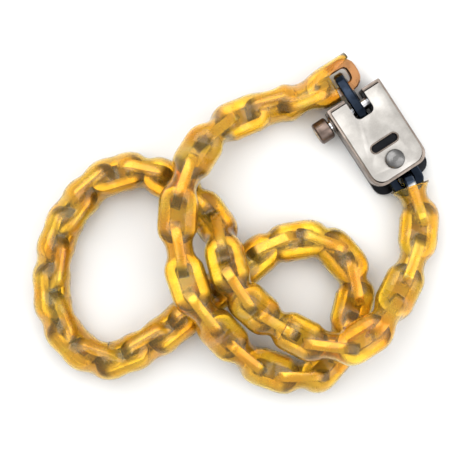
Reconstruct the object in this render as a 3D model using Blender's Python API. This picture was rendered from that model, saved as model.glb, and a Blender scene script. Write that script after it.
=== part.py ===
"""Square-link security chain in a tight plastic sleeve, both ends held in a riveted plate padlock.

Metres, +Z up. The padlock lies on its back plate at the origin: +Y runs from the riveted chain end
towards the shackle notch, and the knob of the lock cylinder points to -X. The chain lies on the same
surface in one closed run, from the free end link in the notch to the fixed end link on the rivet.
"""

import math

import bmesh
import bpy
from mathutils import Matrix, Vector

# --- Driving dimensions -------------------------------------------------------------------------

GAP = 0.0003  # between neighbouring pieces
OVERCUT = 0.002  # how far a cutter runs past the face that it opens

# Chain link
BAR = 0.007  # side of the square bar
BAR_CHAMFER = 0.001
LINK_INNER_LENGTH = 0.026
LINK_INNER_WIDTH = 0.0105
LINK_INNER_RADIUS = 0.003
LAST_LINK = 57  # the links are numbered from the free end, 0, to the fixed end

# Sleeve
SLEEVE_WALL = 0.0012
SLEEVE_SLACK = 0.0005  # between a link and the sleeve
MOUTH_SLACK = 0.0013  # the same in the two open mouths, where the sleeve twists from link to link
SLEEVE_FIRST = 1.0  # the sleeve's two ends, as places counted in links
SLEEVE_LAST = LAST_LINK - 0.5
RINGS_PER_LINK = 4
LEAST_BULGE = 0.0044  # how far the sleeve stands off a bar where it bridges the hollows

# Padlock case, back to front
CASE_WIDTH = 0.044
CASE_TOP = 0.034
CASE_BOTTOM = -0.0328
CASE_WALL = 0.0023
BACK_THICKNESS = 0.0045
BACK_BOTTOM = -0.0395
CORE_HEIGHT = 0.016
INNER_THICKNESS = 0.0017
COVER_THICKNESS = 0.0022
COVER_WIDTH = 0.0405
COVER_TOP = 0.031
COVER_BOTTOM = -0.0305
BOTTOM_RADIUS = 0.0085
TOP_RADIUS = 0.0012

# Shackle notch and the cavity of the fixed link
NOTCH_WIDTH = 0.015
NOTCH_RADIUS = 0.004
COVER_NOTCH_RISE = 0.0036  # from the end of the link that hangs in the notch up to the notch's floor
INNER_NOTCH_RISE = 0.0019
BACK_NOTCH_RISE = 0.0016
CAVITY_TOP = -0.0065
MOUTH_WIDTH = 0.031
RELIEF_WIDTH = 0.014  # in the back plate's lower edge, where the second link stands
RELIEF_TOP = -0.0345

# Pressed slot in the front cover
SLOT_Y = -0.007
SLOT_LENGTH = 0.021
SLOT_WIDTH = 0.006

# Slot in the shell's right wall, seen beside the cover
SIDE_SLOT_Y = (0.0085, 0.0135)
SIDE_SLOT_DEPTH = (0.0030, 0.0012)  # its two edges, below the inner plate's top

# Chain rivet
RIVET_Y = -0.0205
RIVET_RADIUS = 0.0036
RIVET_HEAD_RADIUS = 0.007
RIVET_HEAD_HEIGHT = 0.0027  # of the dome, over its rim
RIVET_RIM = 0.0005
BUSH_RADIUS = 0.0047
FIXED_LINK_RAISE = 0.0012  # of the fixed end link over the middle of its cavity
FREE_LINK_RAISE = 0.0002  # of the free end link over the bolt's axis

# Case rivets
CASE_RIVET_RADIUS = 0.0015
CASE_RIVET_X = 0.0145
CASE_RIVET_UP = 0.0035  # from the lower edge of the guide and the keeper
CASE_RIVET_CHAMFER = 0.0003

# Locking bolt
BOLT_Y = 0.024
BOLT_RADIUS = 0.004
BOLT_CLEARANCE = 0.0003
BOLT_CHAMFER = 0.0008
BOLT_TIP_DEPTH = 0.0062  # how far the tip reaches into the keeper
BOLT_TRAVEL = 0.0213
SHANK_RADIUS = 0.003
SHANK_LENGTH = 0.0018
TAIL_BORE_RADIUS = 0.0018

# Cylinder barrel, the knob
KNOB_STANDOFF = 0.0032
KNOB_RADIUS = 0.0082
KNOB_LENGTH = 0.0106
COLLAR_THICKNESS = 0.0012
COLLAR_RADIUS = 0.0066

# Key plug and wafers
PLUG_RADIUS = 0.004
KEYWAY_WIDTH = 0.0013
KEYWAY_HEIGHT = 0.0044
KEYWAY_END_WALL = 0.0008
WAFER_COUNT = 4
WAFER_MARGIN = 0.0013  # from the plug's ends to the middle of the first and last wafer
WAFER_THICKNESS = 0.0005
WAFER_WIDTH = 0.0028
WAFER_HEIGHT = 0.0050
WAFER_LIFT = 0.0004
WAFER_WINDOW_WIDTH = 0.0016
WAFER_WINDOW_HEIGHT = 0.0032
CLIP_THICKNESS = 0.0005

# Key tail, crank and locking pin
TAIL_RADIUS = 0.0014
CRANK_RADIUS = 0.0006
CRANK_OFFSET = 0.0008  # from the plug's axis to the crank's
PIN_RADIUS = 0.001
PIN_TRAVEL = 0.001
PIN_FROM_NOTCH = 0.0055  # from the notch's side to the pin's axis
PIN_CLEARANCE = 0.0002  # over the crank
PIN_SINK = 0.0001  # its end lies this far under the bolt's surface
CRANK_ROOT = 0.0005  # length of the crank inside the tail

# Stop screw of the bolt
SCREW_RADIUS = 0.0012
SCREW_TIP_DEPTH = 0.0006
STOP_FROM_NOTCH = 0.0035

# --- Sizes that follow --------------------------------------------------------------------------

LINK_LENGTH = LINK_INNER_LENGTH + 2 * BAR
LINK_WIDTH = LINK_INNER_WIDTH + 2 * BAR
LINK_RADIUS = LINK_INNER_RADIUS + BAR

CORE_LOW = BACK_THICKNESS + GAP
CORE_TOP = CORE_LOW + CORE_HEIGHT
INNER_LOW = CORE_TOP + GAP
INNER_TOP = INNER_LOW + INNER_THICKNESS
COVER_LOW = INNER_TOP + GAP
COVER_TOP_Z = COVER_LOW + COVER_THICKNESS
BOLT_Z = CORE_LOW + CORE_HEIGHT / 2
BORE_RADIUS = BOLT_RADIUS + BOLT_CLEARANCE
BLOCK_X = CASE_WIDTH / 2 - CASE_WALL - GAP  # the outer side of the blocks inside the shell
NOTCH_SIDE = NOTCH_WIDTH / 2
# The guide and the keeper reach down as far as the end bar of the free link.
HOOK_FLOOR = BOLT_Y - BOLT_RADIUS - GAP - BAR - GAP
NOTCH_FLOOR = HOOK_FLOOR + COVER_NOTCH_RISE
INNER_NOTCH_FLOOR = HOOK_FLOOR + INNER_NOTCH_RISE
BACK_NOTCH_FLOOR = HOOK_FLOOR + BACK_NOTCH_RISE

CASE_LEFT = -CASE_WIDTH / 2
KNOB_RIGHT = CASE_LEFT - KNOB_STANDOFF
KNOB_LEFT = KNOB_RIGHT - KNOB_LENGTH
SHANK_END = KNOB_RIGHT - SHANK_LENGTH
PLUG_BORE_RADIUS = PLUG_RADIUS + GAP
PLUG_RIGHT = SHANK_END - CLIP_THICKNESS - 3 * GAP
PLUG_LENGTH = PLUG_RIGHT - KNOB_LEFT
WAFER_PITCH = (PLUG_LENGTH - 2 * WAFER_MARGIN) / (WAFER_COUNT - 1)
BOLT_TIP = NOTCH_SIDE + BOLT_TIP_DEPTH
PIN_X = -NOTCH_SIDE - PIN_FROM_NOTCH
STOP_X = -NOTCH_SIDE - STOP_FROM_NOTCH
PIN_LOW = CRANK_RADIUS + PIN_CLEARANCE  # beside the bolt's axis, with the crank turned down

# --- Chain route --------------------------------------------------------------------------------

# Centre of the sleeved chain, from the free end to the fixed end, in the order in which it lies.
ROUTE = (
    (0.0055, 0.0490, 0.0130),
    (-0.0180, 0.0497, 0.0132),
    (-0.0410, 0.0545, 0.0142),
    (-0.0728, 0.0643, 0.0150),
    (-0.0936, 0.0650, 0.0205),
    (-0.1133, 0.0593, 0.0340),
    (-0.1351, 0.0449, 0.0460),
    (-0.1518, 0.0283, 0.0440),
    (-0.1624, 0.0062, 0.0400),
    (-0.1711, -0.0158, 0.0450),
    (-0.1718, -0.0369, 0.0465),
    (-0.1689, -0.0575, 0.0330),
    (-0.1658, -0.0789, 0.0185),
    (-0.1558, -0.0990, 0.0142),
    (-0.1302, -0.1198, 0.0142),
    (-0.0961, -0.1054, 0.0142),
    (-0.0691, -0.0769, 0.0142),
    (-0.0741, -0.0413, 0.0142),
    (-0.1074, -0.0257, 0.0142),
    (-0.1428, -0.0291, 0.0142),
    (-0.1760, -0.0325, 0.0142),
    (-0.2123, -0.0360, 0.0142),
    (-0.2530, -0.0282, 0.0142),
    (-0.2643, 0.0107, 0.0142),
    (-0.2463, 0.0476, 0.0142),
    (-0.2142, 0.0735, 0.0142),
    (-0.1716, 0.0800, 0.0142),
    (-0.1426, 0.0551, 0.0142),
    (-0.1310, 0.0153, 0.0205),
    (-0.1350, -0.0040, 0.0350),
    (-0.1415, -0.0230, 0.0460),
    (-0.1427, -0.0400, 0.0455),
    (-0.1395, -0.0589, 0.0330),
    (-0.1309, -0.0777, 0.0280),
    (-0.1180, -0.0985, 0.0420),
    (-0.0986, -0.1130, 0.0475),
    (-0.0803, -0.1137, 0.0425),
    (-0.0577, -0.1063, 0.0250),
    (-0.0306, -0.0910, 0.0142),
    (-0.0108, -0.0727, 0.0142),
    (-0.0020, -0.0550, 0.0140),
    (-0.0002, -0.0424, 0.0140),
)
# Where along the route some places lie, as (place counted in links, metres from the route's start).
LINK_STATIONS = ((0.5, 0.0), (2, 0.035), (6, 0.128), (14, 0.325), (19, 0.436), (27, 0.580), (39, 0.827),
                 (43, 0.908), (49, 1.030), (54, 1.157), (56.5, 1.212))
# Roll of the even links about the chain's direction, in degrees: 0 is flat, and odd links stand.
LINK_ROLL = ((0, 80.0), (1, 86.0), (2, 66.0), (3, 36.0), (4, 10.0), (5, 0.0), (18, 0.0), (30, 45.0), (36, 45.0),
             (44, 90.0), (57, 90.0))


# --- Materials ----------------------------------------------------------------------------------

def material(name, color, roughness, metallic):
    made = bpy.data.materials.new(name)
    made.use_nodes = True
    shader = made.node_tree.nodes["Principled BSDF"]
    shader.inputs["Base Color"].default_value = (*color, 1.0)
    shader.inputs["Roughness"].default_value = roughness
    shader.inputs["Metallic"].default_value = metallic
    made.diffuse_color = (*color, 1.0)
    return made


# --- Mesh helpers -------------------------------------------------------------------------------

def add_object(name, mesh, finish):
    """A new object; a finish is (colour, roughness, metallic), and None leaves a cutter."""
    made = bpy.data.objects.new(name, mesh)
    bpy.context.scene.collection.objects.link(made)
    if finish is None:
        made.hide_render = True
        made.display_type = "WIRE"
    else:
        mesh.materials.append(material(name, *finish))
    return made


def mesh_from(name, build):
    """A mesh made by build(bm), with its faces turned outwards."""
    bm = bmesh.new()
    build(bm)
    bmesh.ops.recalc_face_normals(bm, faces=bm.faces)
    mesh = bpy.data.meshes.new(name)
    bm.to_mesh(mesh)
    bm.free()
    return mesh


def box(name, low, high, finish=None):
    def build(bm):
        bmesh.ops.create_cube(bm, size=1.0)
        for vert in bm.verts:
            for axis in range(3):
                vert.co[axis] *= high[axis] - low[axis]
    made = add_object(name, mesh_from(name, build), finish)
    made.location = (Vector(low) + Vector(high)) / 2
    return made


def slab(name, outline, low, high, finish=None):
    """An outline in XY, pulled up from low to high."""
    def build(bm):
        base = [bm.verts.new((x, y, low)) for x, y in outline]
        face = bm.faces.new(base)
        pulled = bmesh.ops.extrude_face_region(bm, geom=[face])
        raised = [item for item in pulled["geom"] if isinstance(item, bmesh.types.BMVert)]
        bmesh.ops.translate(bm, verts=raised, vec=(0.0, 0.0, high - low))
    return add_object(name, mesh_from(name, build), finish)


def arc(cx, cy, radius, start, end, steps):
    """Points on an arc, with the angles in degrees."""
    return [
        (cx + radius * math.cos(math.radians(start + (end - start) * i / steps)),
         cy + radius * math.sin(math.radians(start + (end - start) * i / steps)))
        for i in range(steps + 1)
    ]


def rounded(left, right, bottom, top, bottom_radius, top_radius, steps=6):
    """A rectangle's outline with round corners, anticlockwise."""
    b, t = bottom_radius, top_radius
    points = arc(left + b, bottom + b, b, 180, 270, steps)
    points += arc(right - b, bottom + b, b, 270, 360, steps)
    points += arc(right - t, top - t, t, 0, 90, steps)
    points += arc(left + t, top - t, t, 90, 180, steps)
    return points


def turned(name, profile, origin, axis, finish=None, segments=32):
    """A solid turned about an axis through origin; the profile is (along, radius) pairs."""
    side = Vector(axis).normalized()
    first = side.orthogonal().normalized()
    second = side.cross(first)

    def build(bm):
        rings = []
        for along, radius in profile:
            centre = side * along
            rings.append([
                bm.verts.new(centre + radius * (first * math.cos(a) + second * math.sin(a)))
                for a in (2 * math.pi * i / segments for i in range(segments))
            ])
        for lower, upper in zip(rings, rings[1:]):
            for i in range(segments):
                j = (i + 1) % segments
                bm.faces.new((lower[i], lower[j], upper[j], upper[i]))
        bm.faces.new(rings[0])
        bm.faces.new(rings[-1])
    made = add_object(name, mesh_from(name, build), finish)
    made.location = origin
    return made


def rod(name, start, axis, length, radius, finish=None, segments=32, chamfer=0.0):
    profile = [(0.0, radius), (length, radius)]
    if chamfer:
        profile = [(0.0, radius - chamfer), (chamfer, radius), (length - chamfer, radius),
                   (length, radius - chamfer)]
    return turned(name, profile, start, axis, finish, segments)


def cut(target, *cutters):
    for cutter in cutters:
        step = target.modifiers.new(cutter.name, "BOOLEAN")
        step.operation = "DIFFERENCE"
        step.object = cutter


def join(target, other):
    step = target.modifiers.new(other.name, "BOOLEAN")
    step.operation = "UNION"
    step.object = other


def round_shading(target):
    target.data.shade_smooth()
    target.data.set_sharp_from_angle(angle=math.radians(35))


# --- Chain --------------------------------------------------------------------------------------

def read_between(stations, at):
    """A value read off straight lines between (position, value) stations."""
    for (low, before), (high, after) in zip(stations, stations[1:]):
        if at <= high:
            break
    return before + (after - before) * (at - low) / (high - low)


def smooth_route(steps=24):
    """A fine line on the smooth curve through the route's points, as (arc length, point) pairs."""
    points = [Vector(p) for p in ROUTE]
    points = [2 * points[0] - points[1]] + points + [2 * points[-1] - points[-2]]
    line = []
    for i in range(1, len(points) - 2):
        before, start, end, after = points[i - 1:i + 3]
        for step in range(steps):
            t = step / steps
            line.append(0.5 * (
                2 * start + (end - before) * t
                + (2 * before - 5 * start + 4 * end - after) * t ** 2
                + (3 * start - 3 * end + after - before) * t ** 3
            ))
    line.append(points[-2])
    lengths = [0.0]
    for a, b in zip(line, line[1:]):
        lengths.append(lengths[-1] + (b - a).length)
    return list(zip(lengths, line))


def place_links():
    """Each link's centre, direction, the sideways direction of its plane, and half its spacing."""
    line = smooth_route()
    stretch = line[-1][0] / LINK_STATIONS[-1][1]

    def joint_before(link):
        length = stretch * read_between(LINK_STATIONS, link - 0.5)
        return read_between(line, min(max(length, 0.0), line[-1][0]))

    half_hole = LINK_INNER_LENGTH / 2
    free = Vector((0.0, BOLT_Y - BOLT_RADIUS - GAP + half_hole, BOLT_Z + FREE_LINK_RAISE))
    fixed = Vector((0.0, RIVET_Y + BUSH_RADIUS + GAP - half_hole, BOLT_Z + FIXED_LINK_RAISE))
    up = Vector((0.0, 0.0, 1.0))
    placed = []
    for link in range(LAST_LINK + 1):
        if link in (0, LAST_LINK):
            centre = fixed if link else free
            along = Vector((0.0, 1.0, 0.0))
            half = half_hole
        else:
            start, end = joint_before(link), joint_before(link + 1)
            centre = (start + end) / 2
            along = (end - start).normalized()
            half = (end - start).length / 2
        side = up.cross(along).normalized()
        roll = math.radians(read_between(LINK_ROLL, link) + 90.0 * link)
        plane = Matrix.Rotation(roll, 3, along) @ side
        placed.append((centre, along, plane, half))
    return placed


def link_outline():
    """The middle line of a link's bar, a rounded rectangle."""
    half_length = (LINK_LENGTH - BAR) / 2
    half_width = (LINK_WIDTH - BAR) / 2
    radius = LINK_RADIUS - BAR / 2
    return rounded(-half_length, half_length, -half_width, half_width, radius, radius, 4)


def chain_link(name, placement, finish):
    """One welded link: a chamfered square bar bent round the outline."""
    centre, along, plane, _ = placement
    normal = along.cross(plane)
    flat = BAR / 2 - BAR_CHAMFER
    section = ((BAR / 2, -flat), (BAR / 2, flat), (flat, BAR / 2), (-flat, BAR / 2),
               (-BAR / 2, flat), (-BAR / 2, -flat), (-flat, -BAR / 2), (flat, -BAR / 2))
    outline = [Vector((x, y, 0.0)) for x, y in link_outline()]
    count = len(outline)

    def build(bm):
        rings = []
        for i, point in enumerate(outline):
            ahead = (outline[(i + 1) % count] - point).normalized()
            behind = (point - outline[i - 1]).normalized()
            middle = (ahead + behind).normalized()
            outward = Vector((middle.y, -middle.x, 0.0)) / max(middle.dot(ahead), 0.5)
            rings.append([bm.verts.new(point + outward * out + Vector((0.0, 0.0, up)))
                          for out, up in section])
        for ring, following in zip(rings, rings[1:] + rings[:1]):
            for i in range(len(section)):
                j = (i + 1) % len(section)
                bm.faces.new((ring[i], ring[j], following[j], following[i]))
    made = add_object(name, mesh_from(name, build), finish)
    made.matrix_world = Matrix((
        (along.x, plane.x, normal.x, centre.x),
        (along.y, plane.y, normal.y, centre.y),
        (along.z, plane.z, normal.z, centre.z),
        (0.0, 0.0, 0.0, 1.0),
    ))
    round_shading(made)
    return made


def half_width_at(distance):
    """Half the width of a link's plane outline, at a distance from its centre along it."""
    past = abs(distance) - (LINK_LENGTH / 2 - LINK_RADIUS)
    if past <= 0.0:
        return LINK_WIDTH / 2
    if past >= LINK_RADIUS:
        return 0.0
    return LINK_WIDTH / 2 - LINK_RADIUS + math.sqrt(LINK_RADIUS ** 2 - past ** 2)


def sleeve_rings(placed, first, last):
    """Centre, two cross directions and two half widths of each ring between two positions.

    A position is counted in links, so 1.5 is half way from link 1 to link 2. Each half of a link's
    stretch follows that link's own straight line, and the rings turn from one link to the next
    round the joint between them.
    """
    rings = []
    count = round((last - first) * RINGS_PER_LINK)
    least = BAR / 2 + LEAST_BULGE
    for step in range(count + 1):
        position = first + (last - first) * step / count
        link = min(int(position + 0.001), len(placed) - 2)
        part = position - link
        (centre_a, along_a, plane_a, half_a), (centre_b, along_b, plane_b, half_b) = placed[link:link + 2]
        if part < 0.5:
            centre = centre_a + along_a * (2 * part * half_a)
        else:
            centre = centre_b - along_b * (2 * (1 - part) * half_b)
        blend = min(max((part - 0.25) / 0.5, 0.0), 1.0)
        along = along_a.lerp(along_b, blend).normalized()
        # The direction across this link's plane, and the next link's that is nearest to it.
        across_b = along_b.cross(plane_b)
        if across_b.dot(plane_a) < 0.0:
            across_b = -across_b
        wide = plane_a.lerp(across_b, blend)
        wide = (wide - along * wide.dot(along)).normalized()
        high = along.cross(wide)
        gap = half_a + half_b
        reach_a = max(half_width_at(part * gap), half_width_at((2 - part) * gap), least)
        reach_b = max(half_width_at((1 - part) * gap), half_width_at((1 + part) * gap), least)
        rings.append((centre, wide, high, reach_a, reach_b))
    # The wide direction swaps at each link, so each ring is turned to match the one before.
    matched = [rings[0]]
    for centre, wide, high, reach_a, reach_b in rings[1:]:
        before = matched[-1][1]
        if abs(wide.dot(before)) < abs(high.dot(before)):
            wide, high, reach_a, reach_b = high, -wide, reach_b, reach_a
        if wide.dot(before) < 0.0:
            wide, high = -wide, -high
        matched.append((centre, wide, high, reach_a, reach_b))
    return matched


def sleeve_section(ring, margin, lowest):
    """The eight corners of the sleeve round both links at a ring, flattened where it lies down."""
    centre, wide, high, half_a, half_b = ring
    a, b, bar = half_a + margin, half_b + margin, BAR / 2 - BAR_CHAMFER / 2 + margin
    corners = ((a, -bar), (a, bar), (bar, b), (-bar, b), (-a, bar), (-a, -bar), (-bar, -b), (bar, -b))
    points = [centre + wide * x + high * y for x, y in corners]
    return [Vector((point.x, point.y, max(point.z, lowest))) for point in points]


def sleeve(name, placed, finish):
    """The sleeved run: open and hollow round the second links, and one plain solid between them."""
    rings = sleeve_rings(placed, SLEEVE_FIRST, SLEEVE_LAST)
    hollow_free = round((2 - SLEEVE_FIRST) * RINGS_PER_LINK)
    hollow_fixed = round((SLEEVE_LAST - LAST_LINK + 2) * RINGS_PER_LINK)

    def slack_at(step):
        inward = min(step - hollow_free, len(rings) - 1 - hollow_fixed - step)
        past = min(max(inward, 0) / RINGS_PER_LINK, 1.0)
        return MOUTH_SLACK + (SLEEVE_SLACK - MOUTH_SLACK) * past

    def build(bm):
        def loft(steps, wall):
            made = []
            for step in steps:
                section = sleeve_section(rings[step], slack_at(step) + wall, SLEEVE_WALL - wall)
                made.append([bm.verts.new(co) for co in section])
            for ring, following in zip(made, made[1:]):
                for i in range(8):
                    j = (i + 1) % 8
                    bm.faces.new((ring[i], ring[j], following[j]))
                    bm.faces.new((ring[i], following[j], following[i]))
            return made

        outside = loft(range(len(rings)), SLEEVE_WALL)
        free_end = loft(range(hollow_free + 1), 0.0)
        fixed_end = loft(range(len(rings) - 1 - hollow_fixed, len(rings)), 0.0)
        for inner, wall in ((free_end[0], outside[0]), (fixed_end[-1], outside[-1])):
            for i in range(8):
                j = (i + 1) % 8
                bm.faces.new((wall[i], wall[j], inner[j], inner[i]))
        bm.faces.new(free_end[-1])
        bm.faces.new(fixed_end[0])
    made = add_object(name, mesh_from(name, build), finish)
    round_shading(made)
    return made


# --- Padlock ------------------------------------------------------------------------------------

NICKEL = ((0.78, 0.75, 0.71), 0.28, 1.0)
BRONZED = ((0.42, 0.35, 0.30), 0.40, 1.0)
DARK_STEEL = ((0.08, 0.08, 0.09), 0.35, 1.0)
BRIGHT_STEEL = ((0.62, 0.62, 0.64), 0.22, 1.0)
CHAIN_STEEL = ((0.10, 0.11, 0.13), 0.20, 1.0)
BRASS = ((0.70, 0.52, 0.24), 0.35, 1.0)
AMBER = ((0.85, 0.52, 0.06), 0.30, 0.0)


def notch_cutter(name, floor, low, high):
    over = CASE_TOP + OVERCUT + TOP_RADIUS
    outline = rounded(-NOTCH_SIDE, NOTCH_SIDE, floor, over, NOTCH_RADIUS, TOP_RADIUS)
    return slab(name, outline, low - OVERCUT, high + OVERCUT)


def plates():
    """Back plate, shell, inner plate and front cover."""
    half = CASE_WIDTH / 2
    back = slab("back_plate", rounded(-half, half, BACK_BOTTOM, CASE_TOP, BOTTOM_RADIUS, TOP_RADIUS),
                0.0, BACK_THICKNESS, DARK_STEEL)
    relief = box("cut_relief", (-RELIEF_WIDTH / 2, BACK_BOTTOM - OVERCUT, -OVERCUT),
                 (RELIEF_WIDTH / 2, RELIEF_TOP, BACK_THICKNESS + OVERCUT))
    cut(back, notch_cutter("cut_back_notch", BACK_NOTCH_FLOOR, 0.0, BACK_THICKNESS), relief)

    shell = slab("case_shell", rounded(-half, half, CASE_BOTTOM, CASE_TOP, BOTTOM_RADIUS, TOP_RADIUS),
                 CORE_LOW, INNER_TOP, BRONZED)
    hollow = rounded(-half + CASE_WALL, half - CASE_WALL, CASE_BOTTOM + CASE_WALL, CASE_TOP - CASE_WALL,
                     BOTTOM_RADIUS - CASE_WALL, TOP_RADIUS / 2)
    mouth = MOUTH_WIDTH / 2
    cut(shell,
        slab("cut_shell_hollow", hollow, CORE_LOW - OVERCUT, INNER_TOP + OVERCUT),
        box("cut_shell_notch", (-NOTCH_SIDE, CASE_TOP - 2 * CASE_WALL, CORE_LOW - OVERCUT),
            (NOTCH_SIDE, CASE_TOP + OVERCUT, INNER_TOP + OVERCUT)),
        box("cut_shell_mouth", (-mouth, CASE_BOTTOM - OVERCUT, CORE_LOW - OVERCUT),
            (mouth, CASE_BOTTOM + 2 * CASE_WALL, CORE_TOP)),
        rod("cut_shell_bore", (CASE_LEFT - OVERCUT, BOLT_Y, BOLT_Z), (1, 0, 0), 2 * CASE_WALL + OVERCUT,
            BORE_RADIUS),
        box("cut_shell_side_slot", (half - 2 * CASE_WALL, SIDE_SLOT_Y[0], INNER_TOP - SIDE_SLOT_DEPTH[0]),
            (half + OVERCUT, SIDE_SLOT_Y[1], INNER_TOP - SIDE_SLOT_DEPTH[1])))

    reach = BLOCK_X
    inner = slab("inner_plate",
                 rounded(-reach, reach, CASE_BOTTOM + CASE_WALL + GAP, CASE_TOP - CASE_WALL - GAP,
                         BOTTOM_RADIUS - CASE_WALL - GAP, 0.0005),
                 INNER_LOW, INNER_TOP, BRONZED)
    cut(inner, notch_cutter("cut_inner_notch", INNER_NOTCH_FLOOR, INNER_LOW, INNER_TOP))

    cover = slab("front_cover",
                 rounded(-COVER_WIDTH / 2, COVER_WIDTH / 2, COVER_BOTTOM, COVER_TOP, BOTTOM_RADIUS, TOP_RADIUS),
                 COVER_LOW, COVER_TOP_Z, NICKEL)
    ends = SLOT_WIDTH / 2
    corner = ends - 0.0001
    slot = rounded(-SLOT_LENGTH / 2, SLOT_LENGTH / 2, SLOT_Y - ends, SLOT_Y + ends, corner, corner)
    cut(cover, notch_cutter("cut_cover_notch", NOTCH_FLOOR, COVER_LOW, COVER_TOP_Z),
        slab("cut_cover_slot", slot, COVER_LOW - OVERCUT, COVER_TOP_Z + OVERCUT))
    return back, shell, inner, cover


def blocks():
    """The blocks between the plates: bolt guide, keeper and centre block."""
    top = CASE_TOP - CASE_WALL - GAP
    side = NOTCH_SIDE + GAP
    low = HOOK_FLOOR
    guide = box("bolt_guide", (-BLOCK_X, low, CORE_LOW), (-side, top, CORE_TOP), BRIGHT_STEEL)
    keeper = box("bolt_keeper", (side, low, CORE_LOW), (BLOCK_X, top, CORE_TOP), BRIGHT_STEEL)
    centre = box("centre_block", (-BLOCK_X, CAVITY_TOP, CORE_LOW), (BLOCK_X, low - GAP, CORE_TOP), DARK_STEEL)
    cut(guide,
        rod("cut_guide_bore", (-BLOCK_X - OVERCUT, BOLT_Y, BOLT_Z), (1, 0, 0), BLOCK_X + OVERCUT, BORE_RADIUS),
        rod("cut_pin_recess", (PIN_X, BOLT_Y, BOLT_Z), (0, 1, 0),
            BOLT_RADIUS + PIN_TRAVEL + 2 * GAP, PIN_RADIUS + GAP, segments=20),
        rod("cut_stop_hole", (STOP_X, BOLT_Y, CORE_LOW - OVERCUT), (0, 0, 1),
            CORE_HEIGHT / 2 + OVERCUT, SCREW_RADIUS + GAP, segments=20))
    cut(keeper, rod("cut_keeper_bore", (0.0, BOLT_Y, BOLT_Z), (1, 0, 0), BOLT_TIP + 3 * GAP, BORE_RADIUS))
    return guide, keeper, centre


def chain_rivet(back, inner, cover):
    """The domed rivet that holds the fixed end link, in its bush."""
    head_low = COVER_TOP_Z + GAP
    dome_steps = 6
    profile = [(GAP, RIVET_RADIUS), (head_low, RIVET_RADIUS), (head_low, RIVET_HEAD_RADIUS),
               (head_low + RIVET_RIM, RIVET_HEAD_RADIUS)]
    for step in range(1, dome_steps):
        angle = math.pi / 2 * step / dome_steps
        profile.append((head_low + RIVET_RIM + RIVET_HEAD_HEIGHT * math.sin(angle),
                        RIVET_HEAD_RADIUS * math.cos(angle)))
    made = turned("chain_rivet", profile, (0.0, RIVET_Y, 0.0), (0, 0, 1), BRIGHT_STEEL, 36)
    round_shading(made)
    bush = rod("rivet_bush", (0.0, RIVET_Y, CORE_LOW), (0, 0, 1), CORE_HEIGHT, BUSH_RADIUS, BRIGHT_STEEL)
    through = rod("cut_rivet_hole", (0.0, RIVET_Y, -OVERCUT), (0, 0, 1), COVER_TOP_Z + 2 * OVERCUT,
                  RIVET_RADIUS + GAP)
    for target in (bush, back, inner, cover):
        cut(target, through)
    return made


def case_rivets(back, inner, guide, keeper, centre):
    """Four rivets that tie the back plate, the blocks and the inner plate together."""
    low_y = (CAVITY_TOP + HOOK_FLOOR) / 2
    high_y = HOOK_FLOOR + CASE_RIVET_UP
    spots = ((-CASE_RIVET_X, low_y, centre), (CASE_RIVET_X, low_y, centre),
             (-CASE_RIVET_X, high_y, guide), (CASE_RIVET_X, high_y, keeper))
    for number, (x, y, block) in enumerate(spots, 1):
        rod(f"case_rivet_{number}", (x, y, GAP), (0, 0, 1), INNER_TOP - 2 * GAP, CASE_RIVET_RADIUS,
            BRIGHT_STEEL, 20, CASE_RIVET_CHAMFER)
        through = rod(f"cut_case_rivet_{number}", (x, y, -OVERCUT), (0, 0, 1),
                      INNER_TOP + 2 * OVERCUT, CASE_RIVET_RADIUS + GAP, segments=20)
        for target in (back, inner, block):
            cut(target, through)


def locking_bolt():
    """The bolt with its shank, key tail bore, pin hole and stop groove."""
    length = BOLT_TIP - SHANK_END
    profile = [(0.0, SHANK_RADIUS), (SHANK_LENGTH + GAP, SHANK_RADIUS), (SHANK_LENGTH + GAP, BOLT_RADIUS),
               (length - BOLT_CHAMFER, BOLT_RADIUS), (length, BOLT_RADIUS - BOLT_CHAMFER)]
    bolt = turned("locking_bolt", profile, (SHANK_END, BOLT_Y, BOLT_Z), (1, 0, 0), BRIGHT_STEEL)
    bore_end = PIN_X + PIN_RADIUS + 2 * GAP
    groove_low = BOLT_Z - BOLT_RADIUS - OVERCUT
    groove_top = BOLT_Z - BOLT_RADIUS + SCREW_TIP_DEPTH + GAP
    clear = SCREW_RADIUS + 2 * GAP
    cut(bolt,
        rod("cut_tail_bore", (SHANK_END - OVERCUT, BOLT_Y, BOLT_Z), (1, 0, 0),
            bore_end - SHANK_END + OVERCUT, TAIL_BORE_RADIUS, segments=24),
        rod("cut_pin_hole", (PIN_X, BOLT_Y, BOLT_Z), (0, 1, 0), BOLT_RADIUS + OVERCUT, PIN_RADIUS + GAP,
            segments=20),
        box("cut_stop_groove", (STOP_X - clear, BOLT_Y - clear, groove_low),
            (STOP_X + BOLT_TRAVEL + clear, BOLT_Y + clear, groove_top)))
    round_shading(bolt)

    pin = rod("locking_pin", (PIN_X, BOLT_Y + PIN_LOW, BOLT_Z), (0, 1, 0), BOLT_RADIUS - PIN_LOW - PIN_SINK,
              PIN_RADIUS, BRIGHT_STEEL, 20)
    round_shading(pin)
    screw = rod("stop_screw", (STOP_X, BOLT_Y, CORE_LOW + GAP), (0, 0, 1),
                CORE_HEIGHT / 2 - BOLT_RADIUS + SCREW_TIP_DEPTH - GAP, SCREW_RADIUS, DARK_STEEL, 20, 0.0002)
    round_shading(screw)
    collar = rod("bolt_collar", (CASE_LEFT - GAP, BOLT_Y, BOLT_Z), (-1, 0, 0), COLLAR_THICKNESS, COLLAR_RADIUS,
                 BRONZED, 32, 0.0003)
    cut(collar, rod("cut_collar", (CASE_LEFT + OVERCUT, BOLT_Y, BOLT_Z), (-1, 0, 0),
                    COLLAR_THICKNESS + 2 * OVERCUT, BORE_RADIUS))
    round_shading(collar)


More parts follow.
